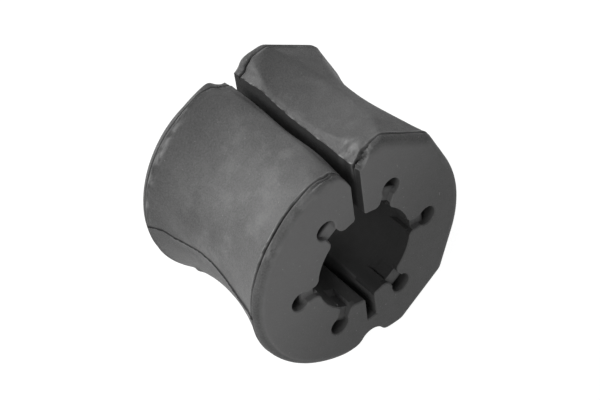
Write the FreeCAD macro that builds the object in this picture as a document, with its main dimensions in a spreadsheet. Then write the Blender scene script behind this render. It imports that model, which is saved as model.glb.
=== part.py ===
import FreeCAD, Part
import math
import os
import Sketcher

# Split rubber bushing for a sway bar, moulded in one piece.
# Frame in millimetres: the bore runs along Y, the top slit points to +Z.
# The origin is on the bore axis, half way along the bushing.

doc = FreeCAD.newDocument("sway_bar_bushing")

# Driving dimensions
sheet = doc.addObject("Spreadsheet::Sheet", "Sizes")
sizes = {
    "bush_length": 34.0,       # along the bore, face to face
    "bore_radius": 10.0,       # takes the bar
    "outer_rise": 0.5,         # centre of the outside above the bore axis
    "rim_radius": 22.7,        # round side of both end rims
    "rim_lip": 1.9,            # width of each end rim
    "rim_round": 1.8,          # rounded outer edge of each rim
    "side_angle": 23.0,        # where the round side turns straight
    "flat_angle": 57.5,        # direction the slanted flats face
    "side_share": 0.956,       # shares of the rim radius: short round side
    "flat_share": 1.0,         # slanted flats, from the centre of the outside
    "corner_share": 0.115,     # corners beside the flats
    "waist_share": 0.868,      # the same four at the middle of the waist
    "waist_side_share": 0.859,
    "waist_flat_share": 0.99,
    "waist_corner_share": 0.17,
    "notch_depth": 3.5,        # floor of the two long notches, below the rims
    "notch_radius": 2.8,       # hollow of the notches
    "shoulder_radius": 3.2,    # rounded shoulders of the notches
    "round_flank": 46.0,       # steepest part of a notch flank, round side
    "level_flank": 60.0,       # and on the level side
    "round_angle": 10.0,       # slope where a shoulder meets the round side
    "level_angle": 15.0,       # slope where a shoulder meets the level side
    "hinge_shift": -0.6,       # bottom notch, beside the slits' plane
    "slit_width": 2.0,
    "slit_mouth": 0.7,         # rounded edges where the slits meet the bore
    "hinge_web": 3.7,          # from the blind slit to the notch floor
    "key_count": 6,
    "key_reach": 3.85,         # bulb centres, from the bore wall
    "key_bulb": 1.9,           # bulb radius
    "neck_width": 2.5,
    "neck_round": 1.3,         # rounded mouth of each neck
    "key_recess": 1.1,         # depth from the face to the web
    "groove_depth": 0.65,      # groove behind each web, in the bore wall
    "web_reach": 3.5,          # far side of the web, from the bore wall
    "key_depth": 5.3,          # full depth of bulb and groove
    "groove_ramp": 1.0,        # length of the ramp that ends the groove
}
for row, (name, value) in enumerate(sizes.items(), start=1):
    sheet.set("A%d" % row, name)
    sheet.set("B%d" % row, str(value))
    sheet.setAlias("B%d" % row, name)
doc.recompute()


def size(name):
    return float(sheet.get(name))


body = doc.addObject("PartDesign::Body", "Bushing")
body.Label = "bushing"
body.Placement = FreeCAD.Placement()


def plane(role):
    for feature in body.Origin.OriginFeatures:
        if feature.Role == role:
            return feature
    raise RuntimeError("no plane " + role)


def sketch_across(name, station):
    # A sketch square to the bore; its own normal points to -Y.
    sketch = body.newObject("Sketcher::SketchObject", name)
    sketch.AttachmentSupport = [(plane("XZ_Plane"), "")]
    sketch.MapMode = "FlatFace"
    sketch.setExpression("AttachmentOffset.Base.z", station)
    return sketch


def polar(radius, degrees):
    a = math.radians(degrees)
    return (radius * math.cos(a), radius * math.sin(a))


def meet(angle_1, distance_1, angle_2, distance_2):
    # Corner of two lines given by their normals and distances from the axis.
    c1, s1 = polar(1.0, angle_1)
    c2, s2 = polar(1.0, angle_2)
    det = c1 * s2 - s1 * c2
    x = (distance_1 * s2 - s1 * distance_2) / det
    z = (c1 * distance_2 - distance_1 * c2) / det
    return (x, z)


def vec(point):
    return FreeCAD.Vector(point[0], point[1], 0)


def add_chain(sketch, pieces):
    # A closed chain of lines and arcs, each piece tangent to the next.
    for kind, data in pieces:
        if kind == "line":
            sketch.addGeometry(Part.LineSegment(vec(data[0]), vec(data[1])), False)
        else:
            centre, radius, start, end = data
            circle = Part.Circle(vec(centre), FreeCAD.Vector(0, 0, 1), radius)
            arc = Part.ArcOfCircle(circle, math.radians(start), math.radians(end))
            sketch.addGeometry(arc, False)
    for i in range(len(pieces)):
        after = (i + 1) % len(pieces)
        sketch.addConstraint(Sketcher.Constraint("Tangent", i, 2, after, 1))


def bind(sketch, constraint, name, expression):
    number = sketch.addConstraint(constraint)
    sketch.renameConstraint(number, name)
    sketch.setExpression("Constraints." + name, expression)


def share(word):
    # Value and rule of a size that is a share of the rim radius.
    if word is None:
        return size("rim_radius"), "Sizes.rim_radius"
    return size("rim_radius") * size(word), "Sizes.rim_radius * Sizes." + word


def outline(name, station, words):
    # The section of the bushing: half round on -X, four slanted flats on +X.
    # words names its four sizes: round side, short side, flats and corners.
    sketch = sketch_across(name, station)
    sketch.setExpression("AttachmentOffset.Base.y", "Sizes.outer_rise")
    values, rules = zip(*[share(word) for word in words])
    radius, side, flat, round_by = values
    tilt = size("flat_angle")
    turn = size("side_angle")

    def rounded(angle_1, distance_1, angle_2, distance_2):
        # Centre of the arc that rounds the corner of two flats.
        return meet(angle_1, distance_1 - round_by, angle_2, distance_2 - round_by)

    def foot(centre, angle):
        step = polar(round_by, angle)
        return (centre[0] + step[0], centre[1] + step[1])

    low = rounded(-90, radius, -tilt, flat)
    low_side = rounded(-tilt, flat, -turn, side)
    high_side = rounded(turn, side, tilt, flat)
    high = rounded(tilt, flat, 90, radius)
    pieces = [
        ("arc", ((0, 0), radius, 90, 270)),
        ("line", ((0, -radius), foot(low, -90))),
        ("arc", (low, round_by, -90, -tilt)),
        ("line", (foot(low, -tilt), foot(low_side, -tilt))),
        ("arc", (low_side, round_by, -tilt, -turn)),
        ("line", (foot(low_side, -turn), polar(side, -turn))),
        ("arc", ((0, 0), side, -turn, turn)),
        ("line", (polar(side, turn), foot(high_side, turn))),
        ("arc", (high_side, round_by, turn, tilt)),
        ("line", (foot(high_side, tilt), foot(high, tilt))),
        ("arc", (high, round_by, tilt, 90)),
        ("line", (foot(high, 90), (0, radius))),
    ]
    add_chain(sketch, pieces)
    constrain = Sketcher.Constraint
    sketch.addConstraint(constrain("Coincident", 0, 3, -1, 1))
    sketch.addConstraint(constrain("Coincident", 6, 3, -1, 1))
    sketch.addConstraint(constrain("Horizontal", 1))
    sketch.addConstraint(constrain("Horizontal", 11))
    bind(sketch, constrain("Radius", 0, radius), "round_side", rules[0])
    bind(sketch, constrain("Radius", 6, side), "short_side", rules[1])
    for place, arc in enumerate((2, 4, 8, 10)):
        bind(sketch, constrain("Radius", arc, round_by), "corner_%d" % place, rules[3])
    for word, line, sign in (("low", 3, -1), ("high", 9, 1)):
        angle = sign * tilt + 90
        rule = "(90 + %d * Sizes.flat_angle) * 1 deg" % sign
        bind(sketch, constrain("Angle", line, math.radians(angle)), word + "_tilt", rule)
        gap = constrain("Distance", -1, 1, line, flat)
        bind(sketch, gap, word + "_flat", rules[2])
    for word, line, sign in (("low", 5, -1), ("high", 7, 1)):
        angle = sign * turn + 90
        rule = "(90 + %d * Sizes.side_angle) * 1 deg" % sign
        bind(sketch, constrain("Angle", line, math.radians(angle)), word + "_turn", rule)
    return sketch


# Waisted body between the two rims
half = "Sizes.bush_length / 2"
rim_words = (None, "side_share", "flat_share", "corner_share")
waist_words = ("waist_share", "waist_side_share", "waist_flat_share", "waist_corner_share")
front_crease = outline("FrontCrease", half + " - Sizes.rim_lip", rim_words)
waist = outline("Waist", "0", waist_words)
rear_crease = outline("RearCrease", "Sizes.rim_lip - " + half, rim_words)
doc.recompute()
barrel = body.newObject("PartDesign::AdditiveLoft", "Barrel")
barrel.Profile = front_crease
barrel.Sections = [(waist, [""]), (rear_crease, [""])]
barrel.Ruled = False
barrel.Closed = False
doc.recompute()


def check_volume(feature, before, grows):
    # Each feature really adds or removes material.
    doc.recompute()
    after = feature.Shape.Volume
    if (after > before) is not grows:
        raise RuntimeError(feature.Name + " changed nothing")
    return after


# End rims, each a short straight pad on its own crease section
volume = barrel.Shape.Volume
for name, profile, turned in (("FrontRim", front_crease, False), ("RearRim", rear_crease, True)):
    rim = body.newObject("PartDesign::Pad", name)
    rim.Profile = profile
    rim.setExpression("Length", "Sizes.rim_lip")
    rim.Reversed = turned
    volume = check_volume(rim, volume, True)

# Rounded outer edge of both rims
face_y = size("bush_length") / 2
edges = []
for number, edge in enumerate(rim.Shape.Edges, start=1):
    box = edge.BoundBox
    flat_edge = box.YLength < 1e-6
    if flat_edge and abs(abs(box.YMin) - face_y) < 1e-6:
        edges.append("Edge%d" % number)
rounding = body.newObject("PartDesign::Fillet", "RimRounding")
rounding.Base = (rim, edges)
rounding.setExpression("Radius", "Sizes.rim_round")
volume = check_volume(rounding, volume, False)


def cut_through(name, sketch):
    # A pocket along the whole bushing, to both sides of its sketch.
    global volume
    pocket = body.newObject("PartDesign::Pocket", name)
    pocket.Profile = sketch
    pocket.Type = "ThroughAll"
    pocket.Midplane = True
    volume = check_volume(pocket, volume, False)
    return pocket


def soften(name, base, radius, wanted):
    # Rounds the edges of base that wanted() picks.
    global volume
    picked = []
    for number, edge in enumerate(base.Shape.Edges, start=1):
        if wanted(edge):
            picked.append("Edge%d" % number)
    fillet = body.newObject("PartDesign::Fillet", name)
    fillet.Base = (base, picked)
    fillet.setExpression("Radius", radius)
    doc.recompute()
    volume = fillet.Shape.Volume
    return fillet


# Long notches at the top and the bottom
constrain = Sketcher.Constraint
up = FreeCAD.Vector(0, 0, 1)
hollow = size("notch_radius")
shoulder = size("shoulder_radius")
middle = size("rim_radius") - size("notch_depth") + hollow
outside = size("rim_radius") / 2
above = size("rim_radius") + 4
slopes = {-1: size("round_flank"), 1: size("level_flank")}
runs = {-1: size("round_angle"), 1: size("level_angle")}


def arc_of(centre, radius, start, end):
    circle = Part.Circle(vec(centre), up, radius)
    return Part.ArcOfCircle(circle, math.radians(start), math.radians(end))


def flank(sign):
    # Centre and end of a shoulder, and where its straight run leaves the outline.
    swing_x, swing_z = polar(hollow + shoulder, 90 - slopes[sign])
    centre = (sign * swing_x, middle - swing_z)
    run = math.radians(runs[sign])
    x = centre[0] - sign * shoulder * math.sin(run)
    z = centre[1] + shoulder * math.cos(run)
    far = z + (outside - abs(x)) * math.tan(run)
    return centre, (x, z), (sign * outside, far)


def notch(name, turned, shift):
    # A rounded trough along the whole bushing; turned puts it at the bottom.
    left, left_end, left_far = flank(-1)
    right, right_end, right_far = flank(1)
    sketch = sketch_across(name + "Profile", "0")
    if turned:
        half_turn = FreeCAD.Rotation(FreeCAD.Vector(1, 0, 0), 180)
        sketch.AttachmentOffset = FreeCAD.Placement(FreeCAD.Vector(), half_turn)
    sketch.setExpression("AttachmentOffset.Base.x", shift)
    sketch.setExpression("AttachmentOffset.Base.y", "Sizes.outer_rise")
    geometry = [
        Part.LineSegment(vec(left_far), vec(left_end)),
        arc_of(left, shoulder, 90 - slopes[-1], 90 - runs[-1]),
        arc_of((0, middle), hollow, 270 - slopes[-1], 270 + slopes[1]),
        arc_of(right, shoulder, 90 + runs[1], 90 + slopes[1]),
        Part.LineSegment(vec(right_end), vec(right_far)),
        Part.LineSegment(vec(right_far), vec((outside, above))),
        Part.LineSegment(vec((outside, above)), vec((-outside, above))),
        Part.LineSegment(vec((-outside, above)), vec(left_far)),
    ]
    sketch.addGeometry(geometry, False)
    for first, end_1, second, end_2 in ((0, 2, 1, 2), (1, 1, 2, 1), (2, 2, 3, 2), (3, 1, 4, 1)):
        sketch.addConstraint(constrain("Tangent", first, end_1, second, end_2))
    for first, second in ((4, 5), (5, 6), (6, 7), (7, 0)):
        sketch.addConstraint(constrain("Coincident", first, 2, second, 1))
    sketch.addConstraint(constrain("Vertical", 5))
    sketch.addConstraint(constrain("Horizontal", 6))
    sketch.addConstraint(constrain("Vertical", 7))
    sketch.addConstraint(constrain("PointOnObject", 2, 3, -2))
    width = "(Sizes.notch_radius + Sizes.shoulder_radius) * sin(Sizes.%s * 1 deg)"
    floor = "Sizes.rim_radius - Sizes.notch_depth + Sizes.notch_radius"
    far = "Sizes.rim_radius / 2"
    fall = math.radians(-runs[-1])
    rise = math.radians(runs[1])
    bind(sketch, constrain("Radius", 2, hollow), "hollow", "Sizes.notch_radius")
    bind(sketch, constrain("Radius", 1, shoulder), "left_round", "Sizes.shoulder_radius")
    bind(sketch, constrain("Radius", 3, shoulder), "right_round", "Sizes.shoulder_radius")
    bind(sketch, constrain("DistanceY", -1, 1, 2, 3, middle), "height", floor)
    left_reach = constrain("DistanceX", 1, 3, -1, 1, -left[0])
    bind(sketch, left_reach, "left_reach", width % "round_flank")
    right_reach = constrain("DistanceX", -1, 1, 3, 3, right[0])
    bind(sketch, right_reach, "right_reach", width % "level_flank")
    bind(sketch, constrain("Angle", 0, fall), "left_run", "-1 * Sizes.round_angle * 1 deg")
    bind(sketch, constrain("Angle", 4, rise), "right_run", "Sizes.level_angle * 1 deg")
    bind(sketch, constrain("DistanceX", -1, 1, 4, 2, outside), "right_far", far)
    bind(sketch, constrain("DistanceX", 0, 1, -1, 1, outside), "left_far", far)
    bind(sketch, constrain("DistanceY", -1, 1, 6, 1, above), "above", "Sizes.rim_radius + 4")
    return cut_through(name, sketch)


notch("TopNotch", False, "0")
notch("BottomNotch", True, "Sizes.hinge_shift")

# Bore for the bar
bore_sketch = sketch_across("BoreCircle", "0")
bore_sketch.addGeometry(Part.Circle(vec((0, 0)), up, size("bore_radius")), False)
bore_sketch.addConstraint(constrain("Coincident", 0, 3, -1, 1))
wall = constrain("Radius", 0, size("bore_radius"))
bind(bore_sketch, wall, "bore", "Sizes.bore_radius")
cut_through("Bore", bore_sketch)


def slot(name, low, high, low_rule, high_rule):
    # An upright slot on the middle plane, between two heights.
    sketch = sketch_across(name + "Profile", "0")
    wide = size("slit_width") / 2
    corners = [(-wide, low), (wide, low), (wide, high), (-wide, high)]
    for i in range(4):
        line = Part.LineSegment(vec(corners[i]), vec(corners[(i + 1) % 4]))
        sketch.addGeometry(line, False)
    for i in range(4):
        sketch.addConstraint(constrain("Coincident", i, 2, (i + 1) % 4, 1))
    sketch.addConstraint(constrain("Horizontal", 2))
    sketch.addConstraint(constrain("Vertical", 1))
    sketch.addConstraint(constrain("Vertical", 3))
    sketch.addConstraint(constrain("Symmetric", 0, 1, 0, 2, -2))
    bind(sketch, constrain("DistanceX", 0, 1, 0, 2, 2 * wide), "width", "Sizes.slit_width")
    bind(sketch, constrain("DistanceY", -1, 1, 0, 1, low), "low", low_rule)
    bind(sketch, constrain("DistanceY", -1, 1, 2, 1, high), "high", high_rule)
    return cut_through(name, sketch)


# Open slit at the top, blind hinge slit at the bottom
inside = 0.8 * size("bore_radius")
open_high = size("rim_radius") + 4
slot("OpenSlit", inside, open_high, "0.8 * Sizes.bore_radius", "Sizes.rim_radius + 4")
deep = size("hinge_web") + size("notch_depth") - size("rim_radius")
deep_rule = "Sizes.hinge_web + Sizes.notch_depth - Sizes.rim_radius"
blind = slot("HingeSlit", deep, -inside, deep_rule, "-0.8 * Sizes.bore_radius")


def slit_edge(edge):
    # Long straight edges where a slit wall meets the bore wall.
    box = edge.BoundBox
    long_edge = box.YLength > 0.9 * size("bush_length")
    at_bore = abs(math.hypot(box.XMin, box.ZMin) - size("bore_radius")) < 1e-4
    return long_edge and at_bore


mouths = soften("SlitMouths", blind, "Sizes.slit_mouth", slit_edge)

# One keyhole at the front face, in three cuts
front = "Sizes.bush_length / 2"
half_neck = size("neck_width") / 2
bend = size("neck_round")
bulb = size("key_bulb")
bore = size("bore_radius")
pitch = bore + size("key_reach")
pitch_rule = "Sizes.bore_radius + Sizes.key_reach"
across = half_neck + bend
along = math.sqrt((bore + bend) ** 2 - across ** 2)
sweep = 62.0
lip_x = along - bend * math.sin(math.radians(sweep))
lip_z = across - bend * math.cos(math.radians(sweep))
inner_x = lip_x - math.cos(math.radians(sweep))
inner_z = lip_z + math.sin(math.radians(sweep))
meet_x = pitch - math.sqrt(bulb ** 2 - half_neck ** 2)
opening = math.degrees(math.asin(half_neck / bulb))
key_sketch = sketch_across("KeyholeProfile", front)
geometry = [
    arc_of((along, -across), bend, 90, 90 + sweep),
    Part.LineSegment(vec((along, -half_neck)), vec((meet_x, -half_neck))),
    arc_of((pitch, 0), bulb, opening - 180, 180 - opening),
    Part.LineSegment(vec((meet_x, half_neck)), vec((along, half_neck))),
    arc_of((along, across), bend, 270 - sweep, 270),
    Part.LineSegment(vec((lip_x, lip_z)), vec((inner_x, inner_z))),
    Part.LineSegment(vec((inner_x, inner_z)), vec((inner_x, -inner_z))),
    Part.LineSegment(vec((inner_x, -inner_z)), vec((lip_x, -lip_z))),
]
key_sketch.addGeometry(geometry, False)
for first, end_1, second, end_2 in ((0, 1, 1, 1), (3, 2, 4, 2), (4, 1, 5, 1), (7, 2, 0, 2)):
    key_sketch.addConstraint(constrain("Tangent", first, end_1, second, end_2))
for first, end_1, second, end_2 in ((1, 2, 2, 1), (2, 2, 3, 1), (5, 2, 6, 1), (6, 2, 7, 1)):
    key_sketch.addConstraint(constrain("Coincident", first, end_1, second, end_2))
key_sketch.addConstraint(constrain("Horizontal", 1))
key_sketch.addConstraint(constrain("Horizontal", 3))
key_sketch.addConstraint(constrain("PointOnObject", 2, 3, -1))
key_sketch.addConstraint(constrain("Symmetric", 6, 1, 6, 2, -1))
bind(key_sketch, constrain("DistanceX", -1, 1, 2, 3, pitch), "pitch", pitch_rule)
bind(key_sketch, constrain("Radius", 2, bulb), "bulb", "Sizes.key_bulb")
bind(key_sketch, constrain("Radius", 0, bend), "low_mouth", "Sizes.neck_round")
bind(key_sketch, constrain("Radius", 4, bend), "high_mouth", "Sizes.neck_round")
neck = "Sizes.neck_width / 2"
bind(key_sketch, constrain("DistanceY", 1, 1, -1, 1, half_neck), "low_neck", neck)
bind(key_sketch, constrain("DistanceY", -1, 1, 3, 1, half_neck), "high_neck", neck)
swing = "Sizes.bore_radius + Sizes.neck_round"
bind(key_sketch, constrain("Distance", -1, 1, 0, 3, bore + bend), "low_swing", swing)
bind(key_sketch, constrain("Distance", -1, 1, 4, 3, bore + bend), "high_swing", swing)
key_sketch.addConstraint(constrain("Angle", 5, math.radians(180 - sweep)))
key_sketch.addConstraint(constrain("Distance", 5, 1.0))
doc.recompute()
recess = body.newObject("PartDesign::Pocket", "KeyholeRecess")
recess.Profile = key_sketch
recess.setExpression("Length", "Sizes.key_recess")
volume = check_volume(recess, volume, False)

bulb_sketch = sketch_across("BulbProfile", front)
chord = bore + size("web_reach")
half_chord = math.sqrt(bulb ** 2 - (pitch - chord) ** 2)
limit = math.degrees(math.atan2(half_chord, chord - pitch))
bulb_sketch.addGeometry(arc_of((pitch, 0), bulb, -limit, limit), False)
cut = Part.LineSegment(vec((chord, half_chord)), vec((chord, -half_chord)))
bulb_sketch.addGeometry(cut, False)
bulb_sketch.addConstraint(constrain("Coincident", 0, 2, 1, 1))
bulb_sketch.addConstraint(constrain("Coincident", 1, 2, 0, 1))
bulb_sketch.addConstraint(constrain("Vertical", 1))
bulb_sketch.addConstraint(constrain("PointOnObject", 0, 3, -1))
bind(bulb_sketch, constrain("DistanceX", -1, 1, 0, 3, pitch), "pitch", pitch_rule)
bind(bulb_sketch, constrain("Radius", 0, bulb), "bulb", "Sizes.key_bulb")
web_rule = "Sizes.bore_radius + Sizes.web_reach"
bind(bulb_sketch, constrain("DistanceX", -1, 1, 1, 1, chord), "web", web_rule)
well = body.newObject("PartDesign::Pocket", "KeyholeWell")
well.Profile = bulb_sketch
well.setExpression("Length", "Sizes.key_depth")
volume = check_volume(well, volume, False)

# Groove in the bore wall below the web, ended by a ramp
groove_sketch = body.newObject("Sketcher::SketchObject", "GrooveProfile")
groove_sketch.AttachmentSupport = [(plane("XY_Plane"), "")]
groove_sketch.MapMode = "FlatFace"
start = -size("bush_length") / 2
ramp_from = start + size("key_depth") - size("groove_ramp")
ramp_to = start + size("key_depth")
depth_x = bore + size("groove_depth")
back_x = 0.9 * bore
slant = size("groove_depth") / size("groove_ramp")
ramp_end = ramp_to + (bore - back_x) / slant
corners = [(back_x, start), (depth_x, start), (depth_x, ramp_from), (back_x, ramp_end)]
for i in range(4):
    line = Part.LineSegment(vec(corners[i]), vec(corners[(i + 1) % 4]))
    groove_sketch.addGeometry(line, False)
for i in range(4):
    groove_sketch.addConstraint(constrain("Coincident", i, 2, (i + 1) % 4, 1))
groove_sketch.addConstraint(constrain("Horizontal", 0))
groove_sketch.addConstraint(constrain("Vertical", 1))
groove_sketch.addConstraint(constrain("Vertical", 3))
bind(groove_sketch, constrain("DistanceX", -1, 1, 0, 1, back_x), "back", "0.9 * Sizes.bore_radius")
floor_rule = "Sizes.bore_radius + Sizes.groove_depth"
bind(groove_sketch, constrain("DistanceX", -1, 1, 1, 1, depth_x), "floor", floor_rule)
bind(groove_sketch, constrain("DistanceY", 0, 1, -1, 1, -start), "face", "Sizes.bush_length / 2")
level = "Sizes.key_depth - Sizes.groove_ramp"
bind(groove_sketch, constrain("DistanceY", 1, 1, 1, 2, ramp_from - start), "level", level)
tilt_rule = "Sizes.key_depth + 0.1 * Sizes.bore_radius * Sizes.groove_ramp"
tilt_rule = tilt_rule + " / Sizes.groove_depth"
bind(groove_sketch, constrain("DistanceY", 0, 1, 2, 2, ramp_end - start), "ramp", tilt_rule)
groove = body.newObject("PartDesign::Pocket", "KeyholeGroove")
groove.Profile = groove_sketch
groove.Midplane = True
groove.setExpression("Length", "Sizes.neck_width")
volume = check_volume(groove, volume, False)

# The keyhole round the bore, and the same again at the rear face
ring = body.newObject("PartDesign::PolarPattern", "KeyholeRing")
ring.Axis = ([f for f in body.Origin.OriginFeatures if f.Role == "Y_Axis"][0], [""])
ring.Angle = 360
ring.setExpression("Occurrences", "Sizes.key_count")
both = body.newObject("PartDesign::Mirrored", "BothEnds")
both.MirrorPlane = (plane("XZ_Plane"), [""])
keyholes = body.newObject("PartDesign::MultiTransform", "Keyholes")
keyholes.Originals = [recess, well, groove]
keyholes.Transformations = [ring, both]
body.Tip = keyholes
volume = check_volume(keyholes, volume, False)

# Every feature is checked before the part is written
for item in doc.Objects:
    if "Invalid" in item.State or "Error" in item.State:
        raise RuntimeError("%s failed: %s" % (item.Name, item.State))
shape = body.Shape
if shape.isNull() or not shape.isValid() or len(shape.Solids) != 1:
    raise RuntimeError("the bushing is not one valid solid")
os.makedirs("parts", exist_ok=True)
shape.exportStep("parts/%s.step" % body.Label)
box = shape.BoundBox
print("bushing %.1f x %.1f x %.1f mm" % (box.XLength, box.YLength, box.ZLength))
print("volume %.0f mm3, faces %d" % (shape.Volume, len(shape.Faces)))
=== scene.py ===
import math
import bmesh
import bpy
import numpy as np
from mathutils import Matrix, Vector, noise


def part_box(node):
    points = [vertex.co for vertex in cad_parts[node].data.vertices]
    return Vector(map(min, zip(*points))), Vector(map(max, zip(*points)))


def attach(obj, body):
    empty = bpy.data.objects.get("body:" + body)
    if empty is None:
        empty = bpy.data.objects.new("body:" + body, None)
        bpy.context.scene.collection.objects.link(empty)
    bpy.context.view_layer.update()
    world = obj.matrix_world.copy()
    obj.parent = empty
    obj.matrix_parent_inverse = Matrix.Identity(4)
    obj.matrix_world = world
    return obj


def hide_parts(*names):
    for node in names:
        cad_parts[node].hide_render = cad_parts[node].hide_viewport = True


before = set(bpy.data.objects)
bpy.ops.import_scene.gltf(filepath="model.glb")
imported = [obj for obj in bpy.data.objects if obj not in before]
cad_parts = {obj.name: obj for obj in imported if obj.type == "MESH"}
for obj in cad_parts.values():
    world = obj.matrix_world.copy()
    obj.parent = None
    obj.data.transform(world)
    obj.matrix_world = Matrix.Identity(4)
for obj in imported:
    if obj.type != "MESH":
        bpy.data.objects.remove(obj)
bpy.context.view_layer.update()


# The studio: a plain white table under a white sky. A large soft lamp stands above and
# behind the part on the left, a small one in front of it and a weak one behind it on the
# right. The camera looks down on the front face from the left.
low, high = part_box("bushing")

camera_right = Vector((0.77641, -0.62036, -0.11111))
camera_up = Vector((0.51051, 0.51568, 0.68807))
camera_back = camera_right.cross(camera_up)
camera_turn = Matrix((camera_right, camera_up, camera_back)).transposed().to_4x4()
camera = bpy.data.objects.new("camera", bpy.data.cameras.new("camera"))
camera.data.sensor_width = 36.0
camera.data.lens = 96.0
camera.matrix_world = Matrix.Translation((-0.103, -0.164141, 0.200949)) @ camera_turn
bpy.context.scene.collection.objects.link(camera)
bpy.context.scene.camera = camera


def area_lamp(name, place, power, width):
    # A round soft lamp that faces the middle of the part.
    light = bpy.data.lights.new(name, "AREA")
    light.shape = "DISK"
    light.energy = power
    light.size = width
    lamp = bpy.data.objects.new(name, light)
    lamp.location = place
    lamp.rotation_euler = Vector(place).to_track_quat("Z", "Y").to_euler()
    bpy.context.scene.collection.objects.link(lamp)


area_lamp("back lamp", (-0.24, 0.40, 0.22), 2.3, 0.26)
area_lamp("front lamp", (-0.16, -0.13, 0.13), 0.25, 0.08)
area_lamp("right lamp", (0.20, 0.30, 0.30), 0.29, 0.25)


class Value:
    # A number or colour that varies over a surface. Sums and products of such
    # values add Math nodes to the tree that is being built.
    tree = None

    def __init__(self, socket):
        self.socket = socket

    @classmethod
    def node(cls, kind, sockets=None, output=0, **settings):
        # Any other node: its settings first, then the values or links of its sockets.
        # A list links several values to one socket.
        made = cls.tree.nodes.new(kind)
        for name, setting in settings.items():
            setattr(made, name, setting)
        for name, given in (sockets or {}).items():
            for value in given if isinstance(given, list) else [given]:
                if isinstance(value, Value):
                    value.into(made.inputs[name])
                else:
                    made.inputs[name].default_value = value
        return cls(made.outputs[output]) if len(made.outputs) else None

    @classmethod
    def maths(cls, operation, *values):
        return cls.node("ShaderNodeMath", dict(enumerate(values)), operation=operation)

    def into(self, socket):
        self.tree.links.new(self.socket, socket)

    def __add__(self, other):
        return self.maths("ADD", self, other)

    __radd__ = __add__

    def __sub__(self, other):
        return self.maths("SUBTRACT", self, other)

    def __rsub__(self, other):
        return self.maths("SUBTRACT", other, self)

    def __mul__(self, other):
        return self.maths("MULTIPLY", self, other)

    __rmul__ = __mul__

    def __truediv__(self, other):
        return self.maths("DIVIDE", self, other)

    def __rtruediv__(self, other):
        return self.maths("DIVIDE", other, self)

    def __abs__(self):
        return self.maths("ABSOLUTE", self)

    def at_least(self, other):
        return self.maths("MAXIMUM", self, other)

    def within(self, start, end):
        # 0 at start and 1 at end, with a soft ramp between them.
        sockets = {"Value": self, "From Min": start, "From Max": end}
        return self.node("ShaderNodeMapRange", sockets, interpolation_type="SMOOTHSTEP")

    def between(self, first, second):
        # The colour that lies this far from the first to the second.
        sockets = {0: self, 6: first, 7: second}
        return self.node("ShaderNodeMix", sockets, output=2, data_type="RGBA")


def seen_directly():
    # 1 for rays from the camera and for those that gloss or glass sends on.
    kinds = ("Is Camera Ray", "Is Glossy Ray", "Is Transmission Ray")
    rays = [Value.node("ShaderNodeLightPath", output=kind) for kind in kinds]
    return rays[0].at_least(rays[1]).at_least(rays[2])


def grey(level):
    # A neutral colour of this brightness.
    return (level, level, level, 1)


sky_level = 0.12
sky = bpy.data.worlds.new("white sky")
sky.use_nodes = True
bpy.context.scene.world = sky
Value.tree = sky.node_tree
backdrop = sky.node_tree.nodes["Background"]
backdrop.inputs["Color"].default_value = grey(1)
strength = sky_level + (1 - sky_level) * seen_directly()
strength.into(backdrop.inputs["Strength"])

table_half = 3.0
table_white = 0.8
table_roughness = 0.9
glow_share = 0.8
glow_strength = 1.2
table = bpy.data.meshes.new("table")
corners = [(x * table_half, y * table_half, low.z) for x, y in ((-1, -1), (1, -1), (1, 1), (-1, 1))]
table.from_pydata(corners, [], [(0, 1, 2, 3)])
paint = bpy.data.materials.new("table white")
paint.use_nodes = True
Value.tree = paint.node_tree
surface = paint.node_tree.nodes["Principled BSDF"]
surface.inputs["Base Color"].default_value = grey(table_white)
surface.inputs["Roughness"].default_value = table_roughness
glow = Value.node("ShaderNodeEmission", {"Color": grey(1), "Strength": glow_strength})
glowing = glow_share * seen_directly()
mixed = Value.node("ShaderNodeMixShader", {0: glowing, 1: Value(surface.outputs[0]), 2: glow})
mixed.into(paint.node_tree.nodes["Material Output"].inputs["Surface"])
table.materials.append(paint)
floor = bpy.data.objects.new("floor", table)
bpy.context.scene.collection.objects.link(floor)


# The moulded body: one piece of rubber, waisted between two straight rims, half round on
# one side and with two slanted flats on the other. Sizes here are in millimetres.
# Every station along the bore is one ring of points, so the skin is a stack of rings.
MM = 0.001
half_length = high.y / MM
rim_radius = -low.x / MM
outer_rise = 0.5
rim_width = 1.9
rim_round = 1.8
crease = half_length - rim_width

# How far a section's round side, short side and slanted flat lie from its centre, and its
# corners' rounding. The short side is an arc up to the first angle and runs straight on
# from there, and the slanted flat faces the second.
side_angle = 23.0
flat_angle = 57.5
rim_sizes = rim_radius * np.array([1.0, 0.956, 1.0, 0.115])
waist_sizes = rim_radius * np.array([0.868, 0.859, 0.99, 0.17])

# The long notches at the top and the foot: a flank's swing, its shoulder's rounding and the
# slope of the run beyond it, first on the round side and then on the side with the flats.
# The foot's notch lies a little to the left of the slit.
notch_floor = rim_radius - 3.5
notch_hollow = 2.8
round_flank = (math.radians(46), 3.2, math.radians(10))
level_flank = (math.radians(60), 3.2, math.radians(15))
notch_end_round = 0.35
foot_shift = -0.6
slit_half = 1.0


def corner_arc(angle_1, distance_1, angle_2, distance_2, rounding):
    # Centre of the arc between two flats, given by their normals and distances.
    first, second = math.radians(angle_1), math.radians(angle_2)
    near, far = distance_1 - rounding, distance_2 - rounding
    spread = math.sin(second - first)
    x = (near * math.sin(second) - far * math.sin(first)) / spread
    z = (far * math.cos(first) - near * math.cos(second)) / spread
    return x, z


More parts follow.
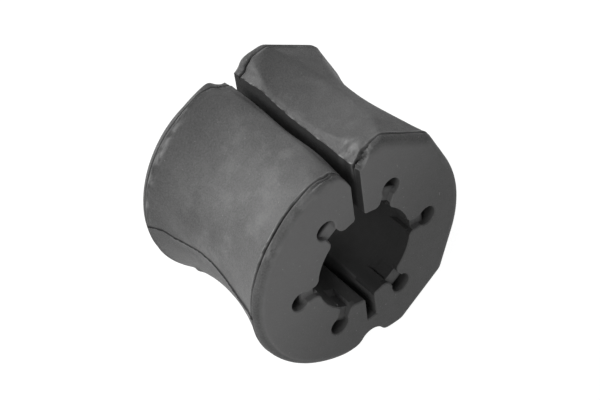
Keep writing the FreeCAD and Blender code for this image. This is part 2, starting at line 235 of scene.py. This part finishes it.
def outline_radius(angle, sizes):
    # Distance from the centre of the outside to the section, at angles in degrees.
    round_side, short_side, flat, rounding = sizes
    away = np.abs((angle + 180) % 360 - 180)
    turned = np.radians(away)
    smallest = 0.05
    slant = short_side / np.cos(np.radians(away - side_angle))
    radius = np.where(away <= side_angle, short_side, slant)
    radius = np.minimum(radius, flat / np.maximum(np.cos(np.radians(away - flat_angle)), smallest))
    radius = np.minimum(radius, round_side / np.maximum(np.sin(turned), smallest))
    radius = np.where(away >= 90, round_side, radius)
    lower_corner = (side_angle, short_side, flat_angle, flat)
    upper_corner = (flat_angle, flat, 90, round_side)
    for corner in (lower_corner, upper_corner):
        x, z = corner_arc(*corner, rounding)
        ends = []
        for normal in (corner[0], corner[2]):
            end_x = x + rounding * math.cos(math.radians(normal))
            end_z = z + rounding * math.sin(math.radians(normal))
            ends.append(math.degrees(math.atan2(end_z, end_x)))
        along = x * np.cos(turned) + z * np.sin(turned)
        inside = np.maximum(along ** 2 - x * x - z * z + rounding ** 2, 0)
        radius = np.where((away > ends[0]) & (away < ends[1]), along + np.sqrt(inside), radius)
    return radius


def outline_height(x, sizes):
    # Height of the top of the section above its centre, at places across.
    round_side, _, flat, rounding = sizes
    normal = math.radians(flat_angle)
    slant = (flat - x * math.cos(normal)) / math.sin(normal)
    centre_x, centre_z = corner_arc(flat_angle, flat, 90, round_side, rounding)
    corner = centre_z + np.sqrt(np.maximum(rounding ** 2 - (x - centre_x) ** 2, 0))
    flat_side = np.where(x < centre_x + rounding * math.cos(normal), corner, slant)
    flat_side = np.where(x < centre_x, round_side, flat_side)
    return np.where(x < 0, np.sqrt(np.maximum(round_side ** 2 - x ** 2, 0)), flat_side)


def notch_height(x):
    # The rounded trough: a hollow, then a rounded shoulder and a straight run each side.
    centre = notch_floor + notch_hollow
    aside = np.abs(x)
    hollow = centre - np.sqrt(np.maximum(notch_hollow ** 2 - aside ** 2, 0))
    heights = []
    for flank, rounding, slope in (round_flank, level_flank):
        swing = notch_hollow + rounding
        reach = swing * math.sin(flank)
        shoulder = centre - swing * math.cos(flank)
        round_top = shoulder + np.sqrt(np.maximum(rounding ** 2 - (aside - reach) ** 2, 0))
        end = reach - rounding * math.sin(slope)
        run = shoulder + rounding * math.cos(slope) + (aside - end) * math.tan(slope)
        outer = np.where(aside < end, round_top, run)
        heights.append(np.where(aside < notch_hollow * math.sin(flank), hollow, outer))
    return np.where(x < 0, heights[0], heights[1])


def spaced(*marks):
    # Places from one mark to the next: (place, step to the next mark), then the last place.
    places = []
    for (start, step), following in zip(marks, marks[1:]):
        end = following[0]
        count = max(1, round(abs(end - start) / step))
        places.extend(np.linspace(start, end, count, endpoint=False))
    return np.array(places + [marks[-1][0]])


# Places across the top and the foot, dense at the slit's lips and the notches' flanks,
# and shares of the way round each side, dense where the mould's halves met.
edge_of_top = 9.0
across_top = spaced((-edge_of_top, 0.4), (-5, 0.2), (-3, 0.1), (-1.6, 0.07), (-0.9, 0.9),
                    (0.9, 0.07), (1.8, 0.18), (5, 0.4), (edge_of_top,))
across_foot = spaced((-edge_of_top, 0.4), (-5, 0.22), (4, 0.4), (edge_of_top,))
round_side_shares = spaced((0, 0.007), (0.455, 0.0016), (0.585, 0.007), (1,))[1:-1]
flat_side_shares = spaced((0, 0.0065), (1,))[1:-1]

# Stations along the bore, dense near the rims: the place, how far the rounded rim edge has
# drawn the outline in, and how far the rounded end of the notch has sunk its floor.
dense_from = 14.3
face_margin = 0.3
stations = [(y, 0.0, 0.0) for y in spaced((0, 0.33), (dense_from, 0.06), (half_length - rim_round,))]
for step in [*range(2, 13, 2), *range(18, 91, 6)]:
    y = half_length - rim_round * (1 - math.sin(math.radians(step)))
    into_end = min(notch_end_round, max(0.0, y - (half_length - notch_end_round)))
    sunk = notch_end_round - math.sqrt(notch_end_round ** 2 - into_end ** 2)
    stations.append((y, rim_round * (1 - math.cos(math.radians(step))), sunk))
stations.append((half_length, rim_round + face_margin, notch_end_round + face_margin))
stations = [(-y, drawn, sunk) for y, drawn, sunk in reversed(stations)] + stations[1:]

# The cured rubber is not quite even: the side with the flats is a little full here and
# there, and at the rear the top notch rises on its right and sinks on its left.
rear_side_swell = 0.7
rear_flat_swell = 0.35
front_flat_swell = 0.35
rear_trough_rise = 0.9
rear_trough_dip = 0.8
rear_rim_drop = 0.6
meeting_round = 0.7


def ramp(place, start, end):
    # 0 before the start and 1 past the end, straight between them.
    return np.clip((place - start) / (end - start), 0, 1)


def bump(distance, width):
    # 1 at no distance, and a rounded fall to nearly 0 at twice the width.
    return np.exp(-((distance / width) ** 2))


def blended(first, second):
    # The lower of two heights, with the line where they meet rounded off.
    near = np.maximum(1 - np.abs(first - second) / meeting_round, 0)
    return np.minimum(first, second) - meeting_round / 4 * near ** 2


def ring_of_skin(y, drawn, sunk):
    # One closed ring of the outside, from the top right over the left to the foot and back.
    share = min(1.0, abs(y) / crease) ** 2
    sizes = waist_sizes + (rim_sizes - waist_sizes) * share - drawn
    sizes[1] += rear_side_swell * ramp(y, 4, 12)
    sizes[2] += rear_flat_swell * ramp(y, 4, 12) + front_flat_swell * bump(y + 9, 5)
    rise = rear_trough_rise * bump(y - 8.5, 4) * (across_top > 0)
    dip = rear_trough_dip * bump(across_top + 2.8, 1.3) * ramp(y, 9, 14)
    drop = rear_rim_drop * bump(across_top + 1.6, 1.8) * ramp(y, crease - 0.6, crease + 1.4)
    trough = notch_height(across_top) - sunk + rise - dip - drop * (across_top < 0)
    top = blended(outline_height(across_top, sizes), trough)
    foot = blended(outline_height(across_foot, sizes), notch_height(across_foot - foot_shift) - sunk)

    def side(start, end, shares):
        # Points round one side, at shares of the way from its start to its end.
        start_angle = math.degrees(math.atan2(start[1], start[0]))
        end_angle = math.degrees(math.atan2(end[1], end[0]))
        angles = start_angle + ((end_angle - start_angle) % 360) * shares
        radius = outline_radius(angles, sizes)
        return radius * np.cos(np.radians(angles)), radius * np.sin(np.radians(angles))

    left = side((-edge_of_top, top[0]), (-edge_of_top, -foot[0]), round_side_shares)
    right = side((edge_of_top, -foot[-1]), (edge_of_top, top[-1]), flat_side_shares)
    x = np.concatenate([across_top[::-1], left[0], across_foot, right[0]])
    z = np.concatenate([top[::-1], left[1], -foot, right[1]])
    return np.stack([x, np.full_like(x, y), z + outer_rise], axis=1)


def outward(rings):
    # Unit normals of a stack of closed rings.
    round_way = np.roll(rings, -1, axis=1) - np.roll(rings, 1, axis=1)
    long_way = np.gradient(rings, axis=0)
    normal = np.cross(long_way, round_way)
    length = np.linalg.norm(normal, axis=2, keepdims=True)
    return normal / np.maximum(length, 1e-9)


def rippled(points, size, seed, octaves=3):
    # Smooth unevenness from about -1 to 1, with bumps about this many millimetres apart.
    flat = points.reshape(-1, 3) / size + seed
    values = [noise.fractal(Vector(p), 1.0, 2.0, octaves) for p in flat]
    return np.array(values).reshape(points.shape[:-1])


def bearing_of(points):
    # Degrees round the outside: 0 at the flats' side, 90 at the top, 180 at the round side.
    return np.degrees(np.arctan2(points[..., 2] - outer_rise, points[..., 0])) % 360


broad_uneven = 0.05
fine_uneven = 0.018
end_margin = 0.02
skin = np.array([ring_of_skin(*station) for station in stations])
normals = outward(skin)
x = skin[..., 0]
y = skin[..., 1]
on_top = skin[..., 2] > 0
bearing = bearing_of(skin)
off_end = np.abs(y) <= half_length - end_margin
rim_edge = ramp(np.abs(y), half_length - rim_round, half_length)
uneven = broad_uneven * rippled(skin, 7.0, 3.0) + fine_uneven * rippled(skin, 1.6, 9.0)
uneven = uneven * (1 - rim_edge)

# The slit's left lip is rounded, more at mid-length than at the rear and most at the front
# face. The right lip keeps a thin ragged fin of rubber.
lip_round_rear = 0.3
lip_round_middle = 0.7
lip_round_front = 2.3
fin_height = 0.22
fin_width = 0.12
front_share = ramp(-y, 8, 16) ** 1.5
lip_round = lip_round_rear + lip_round_middle * bump(y + 0.5, 5.0) + lip_round_front * front_share
into_lip = ramp(x, -slit_half - lip_round, -slit_half)
lowered = lip_round * (1 - np.sqrt(1 - into_lip ** 2)) * (on_top & (x < 0))
torn = np.clip(0.5 + 1.3 * rippled(skin * (0, 1, 0), 2.5, 45.0, 4), 0, 1)
fin = fin_height * torn * bump(x - slit_half - 0.04, fin_width)
fin = fin * (on_top & (x > 0.8) & (np.abs(y) < crease))
skin[..., 2] += fin - lowered

# The ends of the mould left a sharp line where the waist meets each rim: a thin lip on
# the waist side and a narrow groove on the rim side, deeper here and faint there.
crease_lip_height = 0.13
crease_groove_depth = 0.26
crease_groove_width = 0.14
crease_wander = 0.1
slit_wander = 0.5
slit_reach = 3.2
slit_fade = 1.2
strong_bearing = 134
strong_spread = 20


def near_slit(points):
    # 1 beside the slit on top, fading out along the rims.
    past_reach = np.maximum(np.abs(points[..., 0]) - slit_reach, 0)
    return (points[..., 2] > 0) * np.exp(-past_reach / slit_fade)


def beyond_crease(points):
    # Millimetres past the wavering line of the crease, towards the nearer face.
    ring = points * (1, 0, 1)
    wander = crease_wander * rippled(ring, 5.0, 21.0)
    wander = wander + slit_wander * near_slit(points) * rippled(ring, 1.7, 25.0)
    return np.abs(points[..., 1]) - crease - wander


def left_front(points):
    # 1 along the upper left of the front crease, where the lip stands out most.
    return bump(bearing_of(points) - strong_bearing, strong_spread) * (points[..., 1] < 0)


past_crease = beyond_crease(skin)
strong = left_front(skin)
depth = np.clip(0.75 + 0.9 * rippled(skin * (1, 0, 1), 9.0, 33.0), 0.25, 1.2) + 0.8 * strong
crease_lip = crease_lip_height * depth * bump(past_crease + 0.2, 0.2)
groove_width = crease_groove_width + 0.06 * strong
crease_groove = crease_groove_depth * depth * bump(past_crease - 0.1, groove_width)

# Beside the slit the skin crinkled as the mould closed: a deeper crack and small folds.
# At the rear the left lobe is a little thinner above.
crack_depth = 0.6
fold_height = 0.45
fold_depth = 0.4
lobe_thinning = 0.4
crinkled = near_slit(skin) * bump(past_crease - 0.7, 1.1) * (1 - rim_edge ** 3)
wrinkled = np.where((x > 0) & (y < 0), 0.8, 0.3) * rippled(skin * (1.6, 0.7, 1), 1.3, 57.0, 2)
crack = crack_depth * bump(past_crease - 0.1, np.where(x < 0, 0.16, 0.22))
fold = fold_height * bump(past_crease - 1.2, 0.22) - fold_depth * bump(past_crease - 0.75, 0.18)
broken = np.clip(0.7 + rippled(skin * (1, 0, 1), 1.5, 61.0), 0, 1)
fold = fold * broken * bump(x + 5.2, 2.6) * on_top * (y < 0)
folds = crinkled * (wrinkled - crack) + fold * (1 - rim_edge ** 3)
thinned = lobe_thinning * bump(bearing - 112, 12) * ramp(y, 2, 10)

# The mould's halves met along the round side: above the line the skin dips into a dark
# gap that opens towards the front face, below it a thin edge of flash stands out.
parting_y = np.array([-14.5, -12, -8.3, -5.5, -2.7, 0, 3, 6, 9.5, 12, 15])
parting_bearing = np.array([178, 181, 185.5, 184.5, 182, 180.3, 179.8, 180.4, 181, 179.4, 181])
parting_gape = np.array([0.7, 1.2, 1.4, 1.2, 0.8, 0.45, 0.35, 0.3, 0.3, 0.3, 0.3])
parting_radius = 20
parting_depth = 0.1
flash_height = 0.1
flash_width = 0.35
flash_tail_height = 0.35


def below_parting(points):
    # Millimetres round the outside below the parting line, and how wide the line gapes.
    along = points[..., 1]
    turned = bearing_of(points) - np.interp(along, parting_y, parting_bearing)
    return turned * math.radians(parting_radius), np.interp(along, parting_y, parting_gape)


below, gape = below_parting(skin)
between_rims = (np.abs(y) < crease + 0.3) & (bearing > 120)
parting_dip = parting_depth * np.exp(np.minimum(below, 0) / gape) * (below <= 0)
flash = flash_height * np.exp(-np.maximum(below, 0) / flash_width) * (below > 0)
flash_tail = flash_tail_height * bump(y - 8.0, 0.8) * bump(bearing - 206, 2.5)
parting = (flash + flash_tail - parting_dip) * between_rims

proud = uneven + crease_lip - crease_groove + folds + parting - thinned
skin = skin + normals * (proud * off_end)[..., None]


def stack(name, rings):
    # A closed mesh from a stack of closed rings, with a flat end on each side.
    count, around = rings.shape[:2]
    points = rings.reshape(-1, 3) * MM
    here = np.arange(count - 1)[:, None] * around + np.arange(around)[None, :]
    following = np.roll(here, -1, axis=1)
    quads = np.stack([here, following, following + around, here + around], axis=-1)
    faces = quads.reshape(-1, 4).tolist()
    faces.append(list(range(around))[::-1])
    faces.append(list(range((count - 1) * around, count * around)))
    mesh = bpy.data.meshes.new(name)
    mesh.from_pydata(points.tolist(), [], faces)
    work = bmesh.new()
    work.from_mesh(mesh)
    bmesh.ops.recalc_face_normals(work, faces=work.faces)
    work.to_mesh(mesh)
    work.free()
    made = bpy.data.objects.new(name, mesh)
    bpy.context.scene.collection.objects.link(made)
    return made


body = stack("rubber_bushing", skin)


# The bore for the bar, the slit that lets the bushing open round it, and the blind slit
# opposite that makes the hinge. One core leaves all three, with rounded mouths.
bore_radius = 10.0
slit_mouth = 0.7
hinge_end = notch_floor - 3.7
edge_break = 0.2
overshoot = 0.5


def arc(centre, radius, start, end, step):
    # Points of an arc, angles in degrees.
    angles = np.radians(np.linspace(start, end, max(2, round(abs(end - start) / step) + 1)))
    return np.stack([centre[0] + radius * np.cos(angles), centre[1] + radius * np.sin(angles)], axis=1)


def grown(loop, margin):
    # The same closed loop with every side moved outwards by a margin.
    ahead = np.roll(loop, -1, axis=0) - loop
    back = loop - np.roll(loop, 1, axis=0)
    ahead = ahead / np.linalg.norm(ahead, axis=1, keepdims=True)
    back = back / np.linalg.norm(back, axis=1, keepdims=True)
    way = np.stack([(ahead + back)[:, 1], -(ahead + back)[:, 0]], axis=1)
    way = way / np.linalg.norm(way, axis=1, keepdims=True)
    square = np.stack([ahead[:, 1], -ahead[:, 0]], axis=1)
    stretch = np.maximum((way * square).sum(axis=1, keepdims=True), 0.5)
    x, z = loop.T
    area = (x * np.roll(z, -1) - np.roll(x, -1) * z).sum()
    return loop + way / stretch * margin * (1 if area > 0 else -1)


def core(name, loop, levels):
    # A closed core from one loop across the bore, at levels of (place along it, margin).
    rings = []
    for y, margin in levels:
        ring = grown(loop, margin) if margin else loop
        rings.append(np.insert(ring, 1, y, axis=1))
    return stack(name, np.array(rings))


mouth_x = slit_half + slit_mouth
mouth_z = math.sqrt((bore_radius + slit_mouth) ** 2 - mouth_x ** 2)
mouth_bearing = math.degrees(math.atan2(mouth_z, mouth_x))
above_all = rim_radius + 3
slit_loop = np.concatenate([
    [(slit_half, above_all)],
    arc((mouth_x, mouth_z), slit_mouth, 180, 180 + mouth_bearing, 12),
    arc((0, 0), bore_radius, mouth_bearing - 2, 2 - mouth_bearing, 3),
    arc((mouth_x, -mouth_z), slit_mouth, 180 - mouth_bearing, 180, 12),
    [(slit_half, -hinge_end), (-slit_half, -hinge_end)],
    arc((-mouth_x, -mouth_z), slit_mouth, 0, mouth_bearing, 12),
    arc((0, 0), bore_radius, 178 + mouth_bearing, 182 - mouth_bearing, 3),
    arc((-mouth_x, mouth_z), slit_mouth, -mouth_bearing, 0, 12),
    [(-slit_half, above_all)],
])
flared = [(half_length, edge_break), (half_length + overshoot, edge_break + overshoot)]
slit_levels = [(-y, margin) for y, margin in reversed(flared)]
slit_levels += [(y, 0) for y in spaced((edge_break - half_length, 1.0), (half_length - edge_break,))]
slit_levels += flared
bore_core = core("bore core", slit_loop, slit_levels)


# The keyholes: six at each face, moulded round the bore. Each is a mouth and neck down to
# a thin web, a D-shaped well behind the web and a shallow ramped groove in the bore wall.
keyholes = 6
key_pitch = bore_radius + 3.85
key_bulb = 1.9
neck_half = 1.25
neck_round = 1.3
neck_sweep = 62.0
key_recess = 1.1
key_depth = 5.3
web_far = bore_radius + 3.5
groove_depth = 0.65
groove_ramp = 1.0
into_bore = 1.0
past_face = 0.3
well_past_face = 0.4

neck_x = neck_half + neck_round
neck_z = math.sqrt((bore_radius + neck_round) ** 2 - neck_x ** 2)
bulb_opening = math.degrees(math.asin(neck_half / key_bulb))
inner = neck_z - neck_round * math.sin(math.radians(neck_sweep)) - into_bore
recess_loop = np.concatenate([
    arc((neck_z, -neck_x), neck_round, 90 + neck_sweep, 90, 10),
    arc((key_pitch, 0), key_bulb, bulb_opening - 180, 180 - bulb_opening, 10),
    arc((neck_z, neck_x), neck_round, 270, 270 - neck_sweep, 10),
    [(inner, neck_x), (inner, -neck_x)],
])
recess_levels = [
    (-half_length - past_face, edge_break + past_face),
    (-half_length, edge_break),
    (edge_break - half_length, 0),
    (key_recess - half_length, 0),
]
recess_core = core("recess cores", recess_loop, recess_levels)
well_chord = math.degrees(math.acos((web_far - key_pitch) / key_bulb))
well_loop = arc((key_pitch, 0), key_bulb, -well_chord, well_chord, 10)
well_levels = [(-half_length - well_past_face, 0), (key_depth - half_length, 0)]
well_core = core("well cores", well_loop, well_levels)
ramp_start = key_depth - groove_ramp - half_length
ramp_end = ramp_start + groove_ramp * (1 + into_bore / groove_depth)
groove_side = np.array([
    (bore_radius - into_bore, -half_length - past_face),
    (bore_radius + groove_depth, -half_length - past_face),
    (bore_radius + groove_depth, ramp_start),
    (bore_radius - into_bore, ramp_end),
])
groove_rings = [np.insert(groove_side, 2, z, axis=1) for z in (-neck_half, neck_half)]
groove_core = stack("groove cores", np.array(groove_rings))

rubber = bpy.data.materials.new("moulded rubber")


def ring_tree():
    # Repeats one core round the bore at the front face, and the same ring at the rear.
    tree = bpy.data.node_groups.new("ring of cores", "GeometryNodeTree")
    tree.interface.new_socket("Core", in_out="INPUT", socket_type="NodeSocketGeometry")
    tree.interface.new_socket("Count", in_out="INPUT", socket_type="NodeSocketInt")
    tree.interface.new_socket("Rubber", in_out="INPUT", socket_type="NodeSocketMaterial")
    tree.interface.new_socket("Ring", in_out="OUTPUT", socket_type="NodeSocketGeometry")
    Value.tree = tree
    given = [Value.node("NodeGroupInput", output=name) for name in ("Core", "Count", "Rubber")]
    one, count, finish = given
    angle = Value.node("GeometryNodeInputIndex") * (2 * math.pi / count)
    points = Value.node("GeometryNodePoints", {"Count": count})
    about_bore = Value.node("ShaderNodeCombineXYZ", {"Y": angle})
    sockets = {"Points": points, "Instance": one, "Rotation": about_bore}
    front = Value.node("GeometryNodeInstanceOnPoints", sockets)
    rear = Value.node("GeometryNodeTransform", {"Geometry": front, "Rotation": (math.pi, 0, 0)})
    both = Value.node("GeometryNodeJoinGeometry", {"Geometry": [front, rear]})
    real = Value.node("GeometryNodeRealizeInstances", {"Geometry": both})
    painted = Value.node("GeometryNodeSetMaterial", {"Geometry": real, "Material": finish})
    Value.node("NodeGroupOutput", {"Ring": painted})
    return tree


def bake(obj):
    # Turns an object with its modifiers into one with a plain mesh.
    evaluated = obj.evaluated_get(bpy.context.evaluated_depsgraph_get())
    mesh = bpy.data.meshes.new_from_object(evaluated)
    obj.modifiers.clear()
    obj.data = mesh


ring_of_cores = ring_tree()
socket_of = {item.name: item.identifier for item in ring_of_cores.interface.items_tree}
for key_core in (recess_core, well_core, groove_core):
    ring = key_core.modifiers.new("ring", "NODES")
    ring.node_group = ring_of_cores
    ring[socket_of["Count"]] = keyholes
    ring[socket_of["Rubber"]] = rubber
    bake(key_core)

sharp_from = 28
cores = [bore_core, recess_core, well_core, groove_core]
body.data.materials.append(rubber)
for cutter in cores:
    cut = body.modifiers.new(cutter.name, "BOOLEAN")
    cut.operation = "DIFFERENCE"
    cut.solver = "EXACT"
    cut.object = cutter
bake(body)
for cutter in cores:
    bpy.data.objects.remove(cutter)
body.data.shade_smooth()
body.data.set_sharp_from_angle(angle=math.radians(sharp_from))


# The pale marks: the crease's lips, the rims' edges, the flash and the slit's fin are lightened
# in streaks and patches, partly as wear and partly as painted highlights, and the upper left of
# the front rim band and crease lip as painted highlights. It is kept on the mesh, from 0 to 1.
where = np.empty(len(body.data.vertices) * 3)
body.data.vertices.foreach_get("co", where)
where = where.reshape(-1, 3) / MM
x, y, z = where.T
skin_from = 17.5
slit_margin = 0.02
off_middle = np.abs(y)
outer_skin = np.hypot(x, z) > skin_from
bearing = bearing_of(where)
strong = left_front(where)
below, gape = below_parting(where)
on_left = x < -10
on_waist = off_middle < crease
streaks = np.clip(0.35 + 1.6 * rippled(where * (1, 3, 1), 2.2, 71.0, 4), 0, 1)
patches = np.clip(0.4 + 1.5 * rippled(where, 8.0, 83.0, 2), 0, 1)

crease_rub_and_highlight = bump(off_middle - crease + 0.22, 0.2) * (1 + 1.5 * strong)
crease_rub_and_highlight = crease_rub_and_highlight + 0.4 * bump(off_middle - crease - 0.45, 0.16)
edge_rub_and_highlight = 0.15 * bump(off_middle - half_length + 0.25, 0.25) * (off_middle < half_length - end_margin)
flash_rub_and_highlight = 0.6 * bump(below - 0.3, 0.2) * on_left * on_waist
# The upper left of the front rim band is painted lighter as a highlight.
rim_band_highlight = 0.5 * bump(off_middle - 16.1, 0.6) * bump(bearing - 138, 32) * (y < 0)
fin_rub_and_highlight = 1.2 * bump(x - slit_half - 0.05, 0.2) * (x > slit_half + slit_margin)
fin_rub_and_highlight = fin_rub_and_highlight * (z > skin_from) * on_waist
# The crease lip at the upper left of the front is painted lighter as a highlight.
lip_highlight = 0.8 * bump(off_middle - crease + 0.2, 0.16) * strong
rear_rub = 0.9 * bump(off_middle - crease + 0.6, 0.45) * bump(bearing - 140, 25) * (y > 0)
worn_spot = bump(x - 2.6, 1.1) * bump(y + 12.6, 1.4) * (z > 15) * on_waist
rub_and_highlight = (crease_rub_and_highlight + edge_rub_and_highlight + flash_rub_and_highlight + rim_band_highlight) * outer_skin * streaks * patches
rub_and_highlight = rub_and_highlight + (fin_rub_and_highlight + lip_highlight + rear_rub + worn_spot) * streaks
rubbed_and_highlit = body.data.attributes.new("rubbed_and_highlit", "FLOAT", "POINT")
rubbed_and_highlit.data.foreach_set("value", np.clip(rub_and_highlight, 0, 1))


# Painted shade for the narrow gaps where no light gets in: the parting line, the groove of the
# crease and the cracks beside the slit. It is kept on the mesh as an attribute, from 0 to 1.
in_parting = 0.85 * np.minimum(1.5 * bump(np.minimum(below, 0), gape), 1)
in_parting = in_parting * (below < 0.04) * on_left * (off_middle < crease + 0.2)
past_groove = beyond_crease(where) - 0.1
in_crack = near_slit(where) * bump(past_groove, np.where(x < 0, 0.14, 0.24))
in_crease = (0.3 + 0.7 * strong) * bump(past_groove, 0.15 + 0.07 * strong)
painted_gap_shade = np.maximum(np.maximum(in_parting, in_crack), in_crease)
painted_gap_shade = painted_gap_shade * outer_skin * (np.abs(x) > slit_half + slit_margin)
gap_shade = body.data.attributes.new("gap_shade", "FLOAT", "POINT")
gap_shade.data.foreach_set("value", np.clip(painted_gap_shade, 0, 1))


# The finish: dense black rubber, matte from the mould, greyed outside by a cloudy bloom,
# with a fine grain, pale specks and pale edges, partly rubbed and partly painted highlights.
# Painted light and shade go into the colour too: a sheen on the waist's middle, shade at the
# rear, light towards the upper left of the end faces, shade on the rim bands, and near-black
# shade on the walls of the bore, the slit and the wells, which are also duller. Places on the
# part are in millimetres here too.
dense_grey = grey(0.042)
bloomed_grey = grey(0.126)
shade_black = grey(0.008)
rub_and_highlight_grey = grey(0.3)
speck_grey = grey(0.24)
inner_shade_share = 0.92
rub_and_highlight_share = 0.8
speck_share = 0.5
gap_share = 0.85

rubber.use_nodes = True
Value.tree = rubber.node_tree
place = Value.node("ShaderNodeTexCoord", output="Object")


def cloud(size, detail=3.0, roughness=0.5, seed=0.0):
    # Soft noise whose blobs are about this many millimetres across.
    sockets = {"Vector": place, "Scale": 1 / (size * MM), "W": seed}
    sockets.update({"Detail": detail, "Roughness": roughness})
    return Value.node("ShaderNodeTexNoise", sockets, noise_dimensions="4D")


def coordinate(axis):
    # One coordinate of the place on the part, in millimetres.
    return Value.node("ShaderNodeSeparateXYZ", {"Vector": place}, output=axis) * (1 / MM)


across_bore, along_bore, above_bore = [coordinate(axis) for axis in "XYZ"]
off_middle = abs(along_bore)
from_axis = Value.maths("SQRT", across_bore * across_bore + above_bore * above_bore)
off_face = 1 - off_middle.within(half_length - 0.6, half_length - 0.1)
outside = from_axis.within(16.5, 18.5)
moulded = off_face * outside

# Painted shade: the colour is painted near black deep in the bore, on its wall and groove floor
# towards the right, on the slit's walls and in the wells.
deep_inside = (1 - off_middle.within(6, 13.5)) * (1 - outside)
groove_floor = (1 - from_axis.within(10.7, 10.9)) * off_middle.within(11.5, 11.9)
bore_wall = (1 - from_axis.within(10.05, 10.3)).at_least(groove_floor)
bore_wall = bore_wall * (1 - off_middle.within(16.6, 16.9)) * across_bore.within(-5, 3)
slit_wall = (1 - abs(across_bore).within(1.02, 1.1)) * above_bore.within(4, 6)
in_wells = from_axis.within(12.8, 13.5) * (1 - from_axis.within(16, 16.4))
in_wells = in_wells * (1 - off_middle.within(15.4, 16.8))
inner_shade = deep_inside.at_least(bore_wall).at_least(slit_wall).at_least(in_wells)

bloom = cloud(8.0, seed=2.0).within(0.36, 0.68)
wisps = cloud(4.0, 4.0, 0.6, seed=3.0).within(0.46, 0.72)
mottle = cloud(1.7, 4.0, 0.65, seed=5.0)
grain = cloud(0.32, 3.0, 0.7, seed=7.0)
speck = cloud(0.4, 0.0, seed=11.0).within(0.8, 0.84)
# The waist's middle is lifted by a painted sheen, and the rear is darkened by painted shade.
painted_waist_sheen = 1 - abs(along_bore + 2).within(5, 16)
rear = along_bore.within(2, 15)
clouds = (bloom * 0.3 + painted_waist_sheen * (wisps * 0.5 + 0.08) + mottle * 0.5 - 0.07) * (1 - 0.4 * rear)
# Painted light: the end faces and the inside are lighter towards the upper left.
painted_upper_left_light = 1 - (0.8 * across_bore - above_bore).within(-22, 14)
faces = 0.1 + 0.72 * painted_upper_left_light
# Painted shade darkens the rim bands, most towards the bottom.
on_rim = outside * off_middle.within(14.9, 15.7) * (1 - off_middle.within(16.8, 16.95))
painted_rim_shade = 0.5 * on_rim * (1.4 - above_bore.within(-12, 2))
tone = moulded * (clouds + 0.03) + (1 - moulded) * faces - painted_rim_shade
tone = tone + (grain - 0.5) * (0.6 + 0.8 * moulded) + 0.15

rubbed_and_highlit_here = Value.node("ShaderNodeAttribute", output="Fac", attribute_name="rubbed_and_highlit")
gap_shade_here = Value.node("ShaderNodeAttribute", output="Fac", attribute_name="gap_shade")
colour = tone.between(dense_grey, bloomed_grey)
colour = (inner_shade * inner_shade_share).between(colour, shade_black)
# Wear and painted highlights lighten the colour towards a pale grey.
colour = (rubbed_and_highlit_here * rub_and_highlight_share).between(colour, rub_and_highlight_grey)
colour = (speck * speck_share * (1 - inner_shade)).between(colour, speck_grey)
relief = grain * (0.5 + 0.5 * moulded) + mottle * moulded * 0.7
bumped = Value.node("ShaderNodeBump", {"Height": relief, "Strength": 0.7, "Distance": 0.14 * MM})
roughness = 0.5 + 0.2 * mottle + 0.25 * inner_shade
shader = rubber.node_tree.nodes["Principled BSDF"]
shader.inputs["Specular IOR Level"].default_value = 0.35
colour.into(shader.inputs["Base Color"])
roughness.into(shader.inputs["Roughness"])
bumped.into(shader.inputs["Normal"])

# In the gaps a plain matte black takes over from the rubber's sheen, as painted shade.
gap = Value.node("ShaderNodeBsdfDiffuse", {"Color": shade_black})
sockets = {0: gap_shade_here * gap_share, 1: Value(shader.outputs[0]), 2: gap}
with_gaps = Value.node("ShaderNodeMixShader", sockets)
with_gaps.into(rubber.node_tree.nodes["Material Output"].inputs["Surface"])

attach(body, "root")
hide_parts("bushing")

bpy.context.scene.view_settings.view_transform = "Standard"
